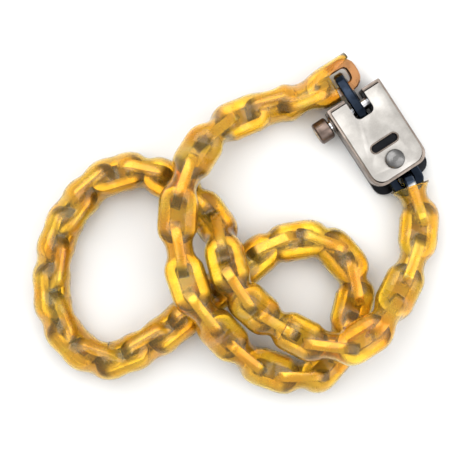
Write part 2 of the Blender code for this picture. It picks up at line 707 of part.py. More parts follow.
def cylinder():
    """The knob-shaped cylinder barrel with its plug, wafers and clip."""
    barrel = rod("cylinder_barrel", (KNOB_LEFT, BOLT_Y, BOLT_Z), (1, 0, 0), KNOB_LENGTH, KNOB_RADIUS, BRONZED,
                 40, 0.0010)
    cut(barrel,
        rod("cut_plug_bore", (KNOB_LEFT - OVERCUT, BOLT_Y, BOLT_Z), (1, 0, 0),
            SHANK_END - GAP - KNOB_LEFT + OVERCUT, PLUG_BORE_RADIUS),
        rod("cut_shank_bore", (SHANK_END - OVERCUT, BOLT_Y, BOLT_Z), (1, 0, 0), SHANK_LENGTH + 2 * OVERCUT,
            SHANK_RADIUS + GAP))
    round_shading(barrel)

    tail_end = PIN_X - PIN_RADIUS - 2 * GAP
    plug = turned("key_plug",
                  [(0.0, PLUG_RADIUS), (PLUG_LENGTH, PLUG_RADIUS), (PLUG_LENGTH, TAIL_RADIUS),
                   (tail_end - KNOB_LEFT, TAIL_RADIUS)],
                  (KNOB_LEFT, BOLT_Y, BOLT_Z), (1, 0, 0), BRASS)
    crank = rod("crank_part", (tail_end - CRANK_ROOT, BOLT_Y, BOLT_Z - CRANK_OFFSET), (1, 0, 0),
                2 * PIN_RADIUS + 2 * GAP, CRANK_RADIUS, None, 12)
    join(plug, crank)
    keyway_end = PLUG_RIGHT - KEYWAY_END_WALL
    cut(plug, box("cut_keyway", (KNOB_LEFT - OVERCUT, BOLT_Y - KEYWAY_WIDTH / 2, BOLT_Z - KEYWAY_HEIGHT / 2),
                  (keyway_end, BOLT_Y + KEYWAY_WIDTH / 2, BOLT_Z + KEYWAY_HEIGHT / 2)))
    first_wafer = KNOB_LEFT + WAFER_MARGIN
    for number in range(WAFER_COUNT):
        x = first_wafer + WAFER_PITCH * number
        side = WAFER_WIDTH / 2
        reach = WAFER_HEIGHT / 2
        wafer = box(f"wafer_{number + 1}", (x - WAFER_THICKNESS / 2, BOLT_Y - side, BOLT_Z - reach),
                    (x + WAFER_THICKNESS / 2, BOLT_Y + side, BOLT_Z + reach), BRASS)
        window_side, window_reach = WAFER_WINDOW_WIDTH / 2, WAFER_WINDOW_HEIGHT / 2
        cut(wafer, box(f"cut_wafer_window_{number + 1}",
                       (x - WAFER_THICKNESS, BOLT_Y - window_side, BOLT_Z - window_reach),
                       (x + WAFER_THICKNESS, BOLT_Y + window_side, BOLT_Z + window_reach)))
        room = WAFER_THICKNESS / 2 + GAP
        cut(plug, box(f"cut_wafer_room_{number + 1}", (x - room, BOLT_Y - side - GAP, BOLT_Z - reach - GAP),
                      (x + room, BOLT_Y + side + GAP, BOLT_Z + reach + WAFER_LIFT + GAP)))
    round_shading(plug)

    clip = rod("plug_clip", (PLUG_RIGHT + GAP, BOLT_Y, BOLT_Z), (1, 0, 0), CLIP_THICKNESS, PLUG_RADIUS - GAP,
               DARK_STEEL, 24)
    opening = TAIL_RADIUS + GAP
    cut(clip,
        rod("cut_clip_hole", (PLUG_RIGHT - OVERCUT, BOLT_Y, BOLT_Z), (1, 0, 0), 2 * OVERCUT, opening,
            segments=24),
        box("cut_clip_opening", (PLUG_RIGHT - OVERCUT, BOLT_Y - opening * 0.8, BOLT_Z - PLUG_RADIUS - OVERCUT),
            (PLUG_RIGHT + OVERCUT, BOLT_Y + opening * 0.8, BOLT_Z)))


def main():
    for old in list(bpy.data.objects):
        bpy.data.objects.remove(old)

    back, shell, inner, cover = plates()
    guide, keeper, centre = blocks()
    chain_rivet(back, inner, cover)
    case_rivets(back, inner, guide, keeper, centre)
    locking_bolt()
    cylinder()

    placed = place_links()
    chain_link("end_link_free", placed[0], CHAIN_STEEL)
    chain_link("second_link_free", placed[1], CHAIN_STEEL)
    chain_link("second_link_fixed", placed[LAST_LINK - 1], CHAIN_STEEL)
    chain_link("end_link_fixed", placed[LAST_LINK], CHAIN_STEEL)
    sleeve("chain_sleeve", placed, AMBER)


main()
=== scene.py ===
"""Looks for a square-link security chain in an amber sleeve, locked in a riveted plate padlock.

The hidden links are made one by one inside a thin translucent sleeve that is shrunk over them, and
the padlock's plates get softened edges, pressed details and worn plating. Metres, +Z up.
"""

import math

import bmesh
import bpy
import numpy as np
from mathutils import Matrix, Vector


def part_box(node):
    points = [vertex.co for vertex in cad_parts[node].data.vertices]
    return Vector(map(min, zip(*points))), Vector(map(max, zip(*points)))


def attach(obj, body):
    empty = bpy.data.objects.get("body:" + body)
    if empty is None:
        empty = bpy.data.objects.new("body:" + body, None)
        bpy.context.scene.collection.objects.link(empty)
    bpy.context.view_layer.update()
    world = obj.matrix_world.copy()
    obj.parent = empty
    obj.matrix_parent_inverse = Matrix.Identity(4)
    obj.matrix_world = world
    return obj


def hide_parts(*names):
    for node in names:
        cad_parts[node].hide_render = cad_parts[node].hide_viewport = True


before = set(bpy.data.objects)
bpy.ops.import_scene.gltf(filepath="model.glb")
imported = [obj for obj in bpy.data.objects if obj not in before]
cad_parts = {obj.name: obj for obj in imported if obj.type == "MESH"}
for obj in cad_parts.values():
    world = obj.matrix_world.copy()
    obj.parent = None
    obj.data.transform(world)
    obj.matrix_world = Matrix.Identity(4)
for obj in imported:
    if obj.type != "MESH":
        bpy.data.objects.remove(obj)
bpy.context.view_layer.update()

# --- Chain sizes, the same as the frame's ---------------------------------------------------------

BAR = 0.007
BAR_CHAMFER = 0.001
LINK_INNER_LENGTH = 0.026
LINK_INNER_WIDTH = 0.0105
LINK_INNER_RADIUS = 0.003
LINK_LENGTH = LINK_INNER_LENGTH + 2 * BAR
LINK_WIDTH = LINK_INNER_WIDTH + 2 * BAR
LINK_RADIUS = LINK_INNER_RADIUS + BAR
LAST_LINK = 57
SLEEVE_FIRST = 1.0  # the sleeve's two ends, as places counted in links
SLEEVE_LAST = LAST_LINK - 0.5

ROUTE = (
    (0.0055, 0.0490, 0.0130),
    (-0.0180, 0.0497, 0.0132),
    (-0.0410, 0.0545, 0.0142),
    (-0.0728, 0.0643, 0.0150),
    (-0.0936, 0.0650, 0.0205),
    (-0.1133, 0.0593, 0.0340),
    (-0.1351, 0.0449, 0.0460),
    (-0.1518, 0.0283, 0.0440),
    (-0.1624, 0.0062, 0.0400),
    (-0.1711, -0.0158, 0.0450),
    (-0.1718, -0.0369, 0.0465),
    (-0.1689, -0.0575, 0.0330),
    (-0.1658, -0.0789, 0.0185),
    (-0.1558, -0.0990, 0.0142),
    (-0.1302, -0.1198, 0.0142),
    (-0.0961, -0.1054, 0.0142),
    (-0.0691, -0.0769, 0.0142),
    (-0.0741, -0.0413, 0.0142),
    (-0.1074, -0.0257, 0.0142),
    (-0.1428, -0.0291, 0.0142),
    (-0.1760, -0.0325, 0.0142),
    (-0.2123, -0.0360, 0.0142),
    (-0.2530, -0.0282, 0.0142),
    (-0.2643, 0.0107, 0.0142),
    (-0.2463, 0.0476, 0.0142),
    (-0.2142, 0.0735, 0.0142),
    (-0.1716, 0.0800, 0.0142),
    (-0.1426, 0.0551, 0.0142),
    (-0.1310, 0.0153, 0.0205),
    (-0.1350, -0.0040, 0.0350),
    (-0.1415, -0.0230, 0.0460),
    (-0.1427, -0.0400, 0.0455),
    (-0.1395, -0.0589, 0.0330),
    (-0.1309, -0.0777, 0.0280),
    (-0.1180, -0.0985, 0.0420),
    (-0.0986, -0.1130, 0.0475),
    (-0.0803, -0.1137, 0.0425),
    (-0.0577, -0.1063, 0.0250),
    (-0.0306, -0.0910, 0.0142),
    (-0.0108, -0.0727, 0.0142),
    (-0.0020, -0.0550, 0.0140),
    (-0.0002, -0.0424, 0.0140),
)
LINK_STATIONS = ((0.5, 0.0), (2, 0.035), (6, 0.128), (14, 0.325), (19, 0.436), (27, 0.580), (39, 0.827),
                 (43, 0.908), (49, 1.030), (54, 1.157), (56.5, 1.212))
LINK_ROLL = ((0, 80.0), (1, 86.0), (2, 66.0), (3, 36.0), (4, 10.0), (5, 0.0), (18, 0.0), (30, 45.0),
             (36, 45.0), (44, 90.0), (57, 90.0))

# --- The pressed slot in the padlock's cover ------------------------------------------------------

SLOT_Y = -0.007
SLOT_LENGTH = 0.021
SLOT_WIDTH = 0.006
LIP_SECTION = ((-0.0004, -0.0006), (-0.0003, 0.0001), (0.0001, 0.0006), (0.0006, 0.0006), (0.0010, 0.0001),
               (0.0010, -0.0006))  # (out, up) from the slot's edge


# --- Camera, light and floor ----------------------------------------------------------------------

VIEW_CENTRE = Vector((-0.124, -0.004, 0.014))
VIEW_WIDTH = 0.336
VIEW_HEIGHT = 0.95
VIEW_RIGHT = Vector((0.839, -0.545, 0.0)).normalized()
VIEW_UP = Vector((0.545, 0.839, 0.0)).normalized()


def add_camera():
    data = bpy.data.cameras.new("camera")
    data.sensor_width = 36.0
    data.lens = 36.0 * VIEW_HEIGHT / VIEW_WIDTH
    data.clip_start, data.clip_end = 0.05, 20.0
    camera = bpy.data.objects.new("camera", data)
    bpy.context.scene.collection.objects.link(camera)
    back = Vector((0.0, 0.0, 1.0))
    place = VIEW_CENTRE + back * VIEW_HEIGHT
    camera.matrix_world = Matrix((
        (VIEW_RIGHT.x, VIEW_UP.x, back.x, place.x),
        (VIEW_RIGHT.y, VIEW_UP.y, back.y, place.y),
        (VIEW_RIGHT.z, VIEW_UP.z, back.z, place.z),
        (0.0, 0.0, 0.0, 1.0),
    ))
    bpy.context.scene.camera = camera


def add_area_light(name, toward, distance, size, power):
    """A soft square light that looks back at the middle of the view; toward is in the view's axes."""
    data = bpy.data.lights.new(name, "AREA")
    data.shape = "SQUARE"
    data.size = size
    data.energy = power
    light = bpy.data.objects.new(name, data)
    bpy.context.scene.collection.objects.link(light)
    side, up, high = Vector(toward).normalized()
    direction = VIEW_RIGHT * side + VIEW_UP * up + Vector((0.0, 0.0, high))
    light.location = VIEW_CENTRE + direction * distance
    light.rotation_euler = direction.to_track_quat("Z", "Y").to_euler()


FLOOR_HALF = 1.5
FLOOR_DROP = 0.0005  # below the chain, so that the two never share a plane


def add_floor():
    mesh = bpy.data.meshes.new("floor")
    corners = ((-1, -1), (1, -1), (1, 1), (-1, 1))
    mesh.from_pydata([(FLOOR_HALF * x, FLOOR_HALF * y, -FLOOR_DROP) for x, y in corners], [], [(0, 1, 2, 3)])
    floor = bpy.data.objects.new("floor", mesh)
    bpy.context.scene.collection.objects.link(floor)
    finish, shader = new_material("floor_paper")
    shader.inputs["Base Color"].default_value = (0.93, 0.93, 0.92, 1.0)
    shader.inputs["Roughness"].default_value = 0.8
    mesh.materials.append(finish)


def add_world():
    world = bpy.data.worlds.new("studio")
    world.use_nodes = True
    background = world.node_tree.nodes["Background"]
    background.inputs["Color"].default_value = (1.0, 1.0, 1.0, 1.0)
    background.inputs["Strength"].default_value = 0.72
    bpy.context.scene.world = world
    bpy.context.scene.view_settings.view_transform = "Standard"


# --- Material helpers -----------------------------------------------------------------------------

def new_material(name):
    made = bpy.data.materials.new(name)
    made.use_nodes = True
    return made, made.node_tree.nodes["Principled BSDF"]


def add_node(tree, kind, **values):
    """A node with its properties or, where the name is an input's, its socket values set."""
    made = tree.nodes.new(kind)
    for key, value in values.items():
        if hasattr(made, key):
            setattr(made, key, value)
        else:
            made.inputs[key.replace("_", " ")].default_value = value
    return made


def noise(tree, vector, scale, detail=3.0, roughness=0.5):
    made = add_node(tree, "ShaderNodeTexNoise", Scale=scale, Detail=detail, Roughness=roughness)
    tree.links.new(vector, made.inputs["Vector"])
    return made.outputs["Fac"]


def ramp(tree, factor, low, high):
    """The factor stretched so that low gives 0 and high gives 1."""
    made = add_node(tree, "ShaderNodeMapRange")
    made.inputs["From Min"].default_value = low
    made.inputs["From Max"].default_value = high
    tree.links.new(factor, made.inputs["Value"])
    return made.outputs["Result"]


def mix_color(tree, factor, a, b, blend="MIX"):
    """A colour mix; a and b are colours or sockets."""
    made = tree.nodes.new("ShaderNodeMix")
    made.data_type = "RGBA"
    made.blend_type = blend
    for value, socket in ((factor, made.inputs[0]), (a, made.inputs[6]), (b, made.inputs[7])):
        if isinstance(value, bpy.types.NodeSocket):
            tree.links.new(value, socket)
        elif isinstance(value, (int, float)):
            socket.default_value = value
        else:
            socket.default_value = (*value, 1.0)
    return made.outputs[2]


def value_math(tree, operation, a, b):
    made = tree.nodes.new("ShaderNodeMath")
    made.operation = operation
    for value, socket in zip((a, b), made.inputs):
        if isinstance(value, bpy.types.NodeSocket):
            tree.links.new(value, socket)
        else:
            socket.default_value = value
    return made.outputs[0]


def plated_grain_group():
    """Worn plating: a colour between two tones, a roughness and a bump height from fine grain."""
    tree = bpy.data.node_groups.new("plated_grain", "ShaderNodeTree")
    face = tree.interface
    face.new_socket("Vector", in_out="INPUT", socket_type="NodeSocketVector")
    for name, value in (("Light Tone", (0.8, 0.8, 0.8, 1.0)), ("Dark Tone", (0.4, 0.4, 0.4, 1.0))):
        face.new_socket(name, in_out="INPUT", socket_type="NodeSocketColor").default_value = value
    numbers = (("Roughness Low", 0.2), ("Roughness High", 0.4), ("Grain Scale", 2500.0),
               ("Patch Scale", 90.0))
    for name, value in numbers:
        face.new_socket(name, in_out="INPUT", socket_type="NodeSocketFloat").default_value = value
    face.new_socket("Color", in_out="OUTPUT", socket_type="NodeSocketColor")
    face.new_socket("Roughness", in_out="OUTPUT", socket_type="NodeSocketFloat")
    face.new_socket("Height", in_out="OUTPUT", socket_type="NodeSocketFloat")
    given = tree.nodes.new("NodeGroupInput")
    result = tree.nodes.new("NodeGroupOutput")

    def scaled_noise(scale_name, detail):
        made = add_node(tree, "ShaderNodeTexNoise", Detail=detail)
        tree.links.new(given.outputs["Vector"], made.inputs["Vector"])
        tree.links.new(given.outputs[scale_name], made.inputs["Scale"])
        return made.outputs["Fac"]

    patch = ramp(tree, scaled_noise("Patch Scale", 4.0), 0.35, 0.65)
    grain = scaled_noise("Grain Scale", 2.0)
    tone = value_math(tree, "ADD", value_math(tree, "MULTIPLY", patch, 0.6),
                      value_math(tree, "MULTIPLY", grain, 0.4))
    tree.links.new(mix_color(tree, tone, given.outputs["Dark Tone"], given.outputs["Light Tone"]),
                   result.inputs["Color"])
    rough = tree.nodes.new("ShaderNodeMix")
    tree.links.new(patch, rough.inputs[0])
    tree.links.new(given.outputs["Roughness High"], rough.inputs[2])
    tree.links.new(given.outputs["Roughness Low"], rough.inputs[3])
    tree.links.new(rough.outputs[0], result.inputs["Roughness"])
    tree.links.new(grain, result.inputs["Height"])
    return tree


GRAIN = plated_grain_group()


def plated(name, light, dark, rough, grain_scale=2500.0, patch_scale=90.0, bump=0.1, depth=0.00005):
    """Metal with worn plating."""
    made, shader = new_material(name)
    tree = made.node_tree
    place = tree.nodes.new("ShaderNodeTexCoord")
    group = tree.nodes.new("ShaderNodeGroup")
    group.node_tree = GRAIN
    tree.links.new(place.outputs["Object"], group.inputs["Vector"])
    group.inputs["Light Tone"].default_value = (*light, 1.0)
    group.inputs["Dark Tone"].default_value = (*dark, 1.0)
    group.inputs["Roughness Low"].default_value, group.inputs["Roughness High"].default_value = rough
    group.inputs["Grain Scale"].default_value = grain_scale
    group.inputs["Patch Scale"].default_value = patch_scale
    tree.links.new(group.outputs["Color"], shader.inputs["Base Color"])
    tree.links.new(group.outputs["Roughness"], shader.inputs["Roughness"])
    shader.inputs["Metallic"].default_value = 1.0
    relief = add_node(tree, "ShaderNodeBump", Strength=bump, Distance=depth)
    tree.links.new(group.outputs["Height"], relief.inputs["Height"])
    tree.links.new(relief.outputs["Normal"], shader.inputs["Normal"])
    return made


def sleeve_plastic():
    """Amber plastic, clear but cloudy, browner in patches, with lengthwise wrinkles from the shrinking."""
    made, shader = new_material("amber_sleeve")
    tree = made.node_tree
    place = tree.nodes.new("ShaderNodeTexCoord")
    along = add_node(tree, "ShaderNodeMapping")
    along.inputs["Scale"].default_value = (1.0, 7.0, 1.0)
    tree.links.new(place.outputs["UV"], along.inputs["Vector"])
    patch = ramp(tree, noise(tree, place.outputs["Object"], 45.0, 4.0), 0.35, 0.7)
    tone = mix_color(tree, patch, (1.0, 0.79, 0.19), (1.0, 0.61, 0.09))
    crease = ramp(tree, noise(tree, along.outputs["Vector"], 45.0, 5.0, 0.7), 0.58, 0.80)
    tree.links.new(mix_color(tree, value_math(tree, "MULTIPLY", crease, 0.5), tone, (0.80, 0.42, 0.06)),
                   shader.inputs["Base Color"])
    rough = ramp(tree, noise(tree, place.outputs["Object"], 130.0, 4.0), -0.1, 4.5)
    tree.links.new(rough, shader.inputs["Roughness"])
    shader.inputs["Transmission Weight"].default_value = 0.95
    shader.inputs["IOR"].default_value = 1.3
    shader.inputs["Coat Weight"].default_value = 0.35
    shader.inputs["Coat Roughness"].default_value = 0.16
    wrinkles = add_node(tree, "ShaderNodeBump", Strength=0.4, Distance=0.0008)
    tree.links.new(noise(tree, along.outputs["Vector"], 26.0, 4.0, 0.55), wrinkles.inputs["Height"])
    tree.links.new(wrinkles.outputs["Normal"], shader.inputs["Normal"])
    return made


DARK_REFLECTION_TONES = ((0.032, 0.045, 0.07), (0.008, 0.011, 0.018))  # painted dark reflection: near-black tones standing in for the dark surroundings that the bright steel mirrors
FILM_BROWN = (0.50, 0.24, 0.10)  # the film where it lies tight on bare steel
# painted shade: near-black brown on each link's end bar, where the next link interlocks with it
INTERLOCK_SHADE_BROWN = (0.07, 0.033, 0.012)
ZINC = ((0.97, 0.95, 0.88), (0.80, 0.76, 0.68), (0.20, 0.36), 1500.0, 120.0)  # what plated() takes
EDGE_FADE = 0.002


def half_hidden(made, axis, edge, shown):
    """The material, turned to another colour past a place on an axis, where the sleeve ends."""
    tree = made.node_tree
    shader = tree.nodes["Principled BSDF"]
    clean = shader.inputs["Base Color"].links[0].from_socket
    place = tree.nodes.new("ShaderNodeTexCoord")
    parts = tree.nodes.new("ShaderNodeSeparateXYZ")
    tree.links.new(place.outputs["Object"], parts.inputs["Vector"])
    past = ramp(tree, parts.outputs[axis], edge - EDGE_FADE, edge + EDGE_FADE)
    tree.links.new(mix_color(tree, past, clean, shown), shader.inputs["Base Color"])
    return made


def link_steel():
    """Zinc-plated links, satin, with painted shade on the end bars where the next link passes through."""
    made = plated("zinc_link", *ZINC)
    tree = made.node_tree
    shader = tree.nodes["Principled BSDF"]
    shader.inputs["Metallic"].default_value = 0.75
    clean = shader.inputs["Base Color"].links[0].from_socket
    # painted shade on the end bar where the next link passes through
    interlock_shade_mask = add_node(tree, "ShaderNodeAttribute", attribute_name="interlock_shade")
    tree.links.new(mix_color(tree, interlock_shade_mask.outputs["Fac"], clean, INTERLOCK_SHADE_BROWN), shader.inputs["Base Color"])
    return made


# --- Where the links lie --------------------------------------------------------------------------

def read_between(stations, at):
    """A value read off straight lines between (position, value) stations."""
    for (low, before), (high, after) in zip(stations, stations[1:]):
        if at <= high:
            break
    return before + (after - before) * (at - low) / (high - low)


def smooth_route(steps=24):
    """A fine line on the smooth curve through the route's points, as (arc length, point) pairs."""
    points = [Vector(p) for p in ROUTE]
    points = [2 * points[0] - points[1]] + points + [2 * points[-1] - points[-2]]
    line = []
    for i in range(1, len(points) - 2):
        before, start, end, after = points[i - 1:i + 3]
        for step in range(steps):
            t = step / steps
            line.append(0.5 * (
                2 * start + (end - before) * t
                + (2 * before - 5 * start + 4 * end - after) * t ** 2
                + (3 * start - 3 * end + after - before) * t ** 3
            ))
    line.append(points[-2])
    lengths = [0.0]
    for a, b in zip(line, line[1:]):
        lengths.append(lengths[-1] + (b - a).length)
    return list(zip(lengths, line))


def centre_of(node):
    low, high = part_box(node)
    return (low + high) / 2


def place_links():
    """Each link's centre, direction, the sideways direction of its plane, and half its spacing."""
    line = smooth_route()
    stretch = line[-1][0] / LINK_STATIONS[-1][1]

    def joint_before(link):
        length = stretch * read_between(LINK_STATIONS, link - 0.5)
        return read_between(line, min(max(length, 0.0), line[-1][0]))

    placed = []
    for link in range(LAST_LINK + 1):
        if link in (0, LAST_LINK):
            centre = centre_of("end_link_fixed" if link else "end_link_free")
            along = Vector((0.0, 1.0, 0.0))
            half = LINK_INNER_LENGTH / 2
        else:
            start, end = joint_before(link), joint_before(link + 1)
            centre = (start + end) / 2
            along = (end - start).normalized()
            half = (end - start).length / 2
        side = Vector((0.0, 0.0, 1.0)).cross(along).normalized()
        roll = math.radians(read_between(LINK_ROLL, link) + 90.0 * link)
        plane = Matrix.Rotation(roll, 3, along) @ side
        placed.append((centre, along, plane, half))
    return placed


# --- The sleeved links ----------------------------------------------------------------------------

def interlock_shade_ends(tree, mesh, length, bar):
    """Stores the painted-shade mask on one link: 1 on the end bar that lies ahead, where the next link
    passes through, fading along the sides.
    """
    link = tree.links.new
    place = tree.nodes.new("GeometryNodeInputPosition")
    parts = tree.nodes.new("ShaderNodeSeparateXYZ")
    link(place.outputs["Position"], parts.inputs["Vector"])
    end = value_math(tree, "MULTIPLY", length, 0.5)
    start = value_math(tree, "SUBTRACT", end, value_math(tree, "MULTIPLY", bar, 1.5))
    fade = tree.nodes.new("ShaderNodeMapRange")
    link(parts.outputs["X"], fade.inputs["Value"])
    link(start, fade.inputs["From Min"])
    link(value_math(tree, "SUBTRACT", end, value_math(tree, "MULTIPLY", bar, 0.8)), fade.inputs["From Max"])
    store = tree.nodes.new("GeometryNodeStoreNamedAttribute")
    store.data_type = "FLOAT"
    store.domain = "POINT"
    store.inputs["Name"].default_value = "interlock_shade"
    link(mesh, store.inputs["Geometry"])
    link(fade.outputs["Result"], store.inputs["Value"])
    return store.outputs["Geometry"]


def sleeved_links_tree():
    """Geometry Nodes: one welded square-bar link on each point, turned by the point's link_turn."""
    tree = bpy.data.node_groups.new("sleeved_links", "GeometryNodeTree")
    face = tree.interface
    face.new_socket("Geometry", in_out="INPUT", socket_type="NodeSocketGeometry")
    for name in ("Bar", "Bar Chamfer", "Link Length", "Link Width", "Link Radius"):
        face.new_socket(name, in_out="INPUT", socket_type="NodeSocketFloat")
    face.new_socket("Finish", in_out="INPUT", socket_type="NodeSocketMaterial")
    face.new_socket("Geometry", in_out="OUTPUT", socket_type="NodeSocketGeometry")
    given = tree.nodes.new("NodeGroupInput")
    result = tree.nodes.new("NodeGroupOutput")
    link = tree.links.new

    def less(a, b):
        return value_math(tree, "SUBTRACT", a, b)

    def rounded_rectangle(width, height, radius, steps):
        shape = tree.nodes.new("GeometryNodeCurvePrimitiveQuadrilateral")
        link(width, shape.inputs["Width"])
        link(height, shape.inputs["Height"])
        corners = tree.nodes.new("GeometryNodeFilletCurve")
        corners.mode = "POLY"
        corners.inputs["Count"].default_value = steps
        link(shape.outputs["Curve"], corners.inputs["Curve"])
        link(radius, corners.inputs["Radius"])
        return corners.outputs["Curve"]

    bar = given.outputs["Bar"]
    half_bar = value_math(tree, "MULTIPLY", bar, 0.5)
    middle = rounded_rectangle(less(given.outputs["Link Length"], bar),
                               less(given.outputs["Link Width"], bar),
                               less(given.outputs["Link Radius"], half_bar), 6)
    section = rounded_rectangle(bar, bar, given.outputs["Bar Chamfer"], 2)
    bent = tree.nodes.new("GeometryNodeCurveToMesh")
    link(middle, bent.inputs["Curve"])
    link(section, bent.inputs["Profile Curve"])
    turn = tree.nodes.new("GeometryNodeInputNamedAttribute")
    turn.data_type = "FLOAT_VECTOR"
    turn.inputs["Name"].default_value = "link_turn"
    copies = tree.nodes.new("GeometryNodeInstanceOnPoints")
    link(given.outputs["Geometry"], copies.inputs["Points"])
    link(interlock_shade_ends(tree, bent.outputs["Mesh"], given.outputs["Link Length"], bar), copies.inputs["Instance"])
    link(turn.outputs["Attribute"], copies.inputs["Rotation"])
    real = tree.nodes.new("GeometryNodeRealizeInstances")
    link(copies.outputs["Instances"], real.inputs["Geometry"])
    finish = tree.nodes.new("GeometryNodeSetMaterial")
    link(real.outputs["Geometry"], finish.inputs["Geometry"])
    link(given.outputs["Finish"], finish.inputs["Material"])
    link(finish.outputs["Geometry"], result.inputs["Geometry"])
    return tree


def grown(name, points, turns, tree, values):
    """A plain mesh from a Geometry Nodes tree on points; values are by input name."""
    seeds = bpy.data.meshes.new(name + "_seeds")
    seeds.from_pydata([tuple(p) for p in points], [], [])
    turned = seeds.attributes.new("link_turn", "FLOAT_VECTOR", "POINT")
    for item, value in zip(turned.data, turns):
        item.vector = value
    seed_object = bpy.data.objects.new(name + "_seeds", seeds)
    bpy.context.scene.collection.objects.link(seed_object)
    step = seed_object.modifiers.new("grow", "NODES")
    step.node_group = tree
    for item in tree.interface.items_tree:
        if item.in_out == "INPUT" and item.name in values:
            step[item.identifier] = values[item.name]
    bpy.context.view_layer.update()
    evaluated = seed_object.evaluated_get(bpy.context.evaluated_depsgraph_get())
    mesh = bpy.data.meshes.new_from_object(evaluated)
    mesh.name = name
    bpy.data.objects.remove(seed_object)
    made = bpy.data.objects.new(name, mesh)
    bpy.context.scene.collection.objects.link(made)
    return made


def soften_shading(made, degrees=40):
    made.data.shade_smooth()
    made.data.set_sharp_from_angle(angle=math.radians(degrees))


def add_links(placed, finish):
    inside = placed[2:LAST_LINK - 1]
    turns = []
    for _, along, plane, _ in inside:
        normal = along.cross(plane)
        turns.append(Matrix((along, plane, normal)).transposed().to_euler())
    made = grown("sleeved_links", [row[0] for row in inside], turns, sleeved_links_tree(), {
        "Bar": BAR, "Bar Chamfer": BAR_CHAMFER, "Link Length": LINK_LENGTH, "Link Width": LINK_WIDTH,
        "Link Radius": LINK_RADIUS, "Finish": finish})
    soften_shading(made, 30)
    return made


# --- The sleeve -----------------------------------------------------------------------------------

RINGS_PER_LINK = 12
RING_POINTS = 40
FILM = 0.0010  # the sleeve's wall
FILM_OUT = 0.0017  # from a bar to the sleeve's outside
HOOD_REACH = 0.019  # how far the slanted cut of the free mouth runs on past link 0, on its far side
HOOD_RINGS = 9
HOOD_CLEARANCE = 0.0012  # from the end of link 0
HOOD_BLEND = 0.005
MOST_BLUR = 0.0012  # how far the smoothed film may sink towards the links
MOUTH_ROLL = 0.0008  # how far the cut edges roll outwards
ROUND_TO_UV = 0.08  # the sleeve's girth, as the wrinkles see it
BRIDGE = 0.0040  # how far the film stands off a bar where it bridges the hollows


def half_width_at(distance):
    """Half the width of a link's plane outline, at a distance from its centre along it."""
    past = abs(distance) - (LINK_LENGTH / 2 - LINK_RADIUS)
    if past <= 0.0:
        return LINK_WIDTH / 2
    if past >= LINK_RADIUS:
        return 0.0
    return LINK_WIDTH / 2 - LINK_RADIUS + math.sqrt(LINK_RADIUS ** 2 - past ** 2)


def sleeve_rings(placed):
    """Centre, wide and high directions, and the half widths of the links, of each ring in turn."""
    rings = []
    count = round((SLEEVE_LAST - SLEEVE_FIRST) * RINGS_PER_LINK)
    least = BAR / 2 + BRIDGE
    for step in range(count + 1):
        position = SLEEVE_FIRST + (SLEEVE_LAST - SLEEVE_FIRST) * step / count
        link = min(int(position + 0.001), len(placed) - 2)
        part = position - link
        (centre_a, along_a, plane_a, half_a), (centre_b, along_b, plane_b, half_b) = placed[link:link + 2]
        if part < 0.5:
            centre = centre_a + along_a * (2 * part * half_a)
        else:
            centre = centre_b - along_b * (2 * (1 - part) * half_b)
        blend = min(max((part - 0.2) / 0.6, 0.0), 1.0)
        along = along_a.lerp(along_b, blend).normalized()
        across_b = along_b.cross(plane_b)
        if across_b.dot(plane_a) < 0.0:
            across_b = -across_b
        wide = plane_a.lerp(across_b, blend)
        wide = (wide - along * wide.dot(along)).normalized()
        high = along.cross(wide)
        gap = half_a + half_b
        reach_a = max(half_width_at(part * gap), half_width_at((2 - part) * gap), least)
        reach_b = max(half_width_at((1 - part) * gap), half_width_at((1 + part) * gap), least)
        if rings and abs(wide.dot(rings[-1][1])) < abs(high.dot(rings[-1][1])):
            wide, high, reach_a, reach_b = high, -wide, reach_b, reach_a
        if rings and wide.dot(rings[-1][1]) < 0.0:
            wide, high = -wide, -high
        rings.append((centre, wide, high, reach_a, reach_b))
    return rings


def film_radius(half_a, half_b, angles):
    """The distance to the stretched film in each direction, round two crossed links."""
    a, b, bar = half_a + FILM_OUT, half_b + FILM_OUT, BAR / 2 + FILM_OUT
    edges = [(a, 0.0), (a, math.pi), (b, math.pi / 2), (b, -math.pi / 2)]
    if a > bar and b > bar:
        normal = math.atan2(a - bar, b - bar)
        reach = a * math.cos(normal) + bar * math.sin(normal)
        edges += [(reach, normal), (reach, math.pi - normal), (reach, -normal), (reach, normal - math.pi)]
    least = np.full(len(angles), 1.0)
    for reach, direction in edges:
        facing = np.cos(angles - direction)
        least = np.where(facing > 0.05, np.minimum(least, reach / np.maximum(facing, 0.05)), least)
    return least


def blurred(grid, axis, weights, closed):
    """The grid averaged along an axis with the given symmetric weights."""
    total = np.zeros_like(grid)
    half = len(weights) // 2
    for offset, weight in zip(range(-half, half + 1), weights):
        if closed:
            total += weight * np.roll(grid, offset, axis)
        else:
            index = np.clip(np.arange(grid.shape[axis]) + offset, 0, grid.shape[axis] - 1)
            total += weight * np.take(grid, index, axis)
    return total / sum(weights)


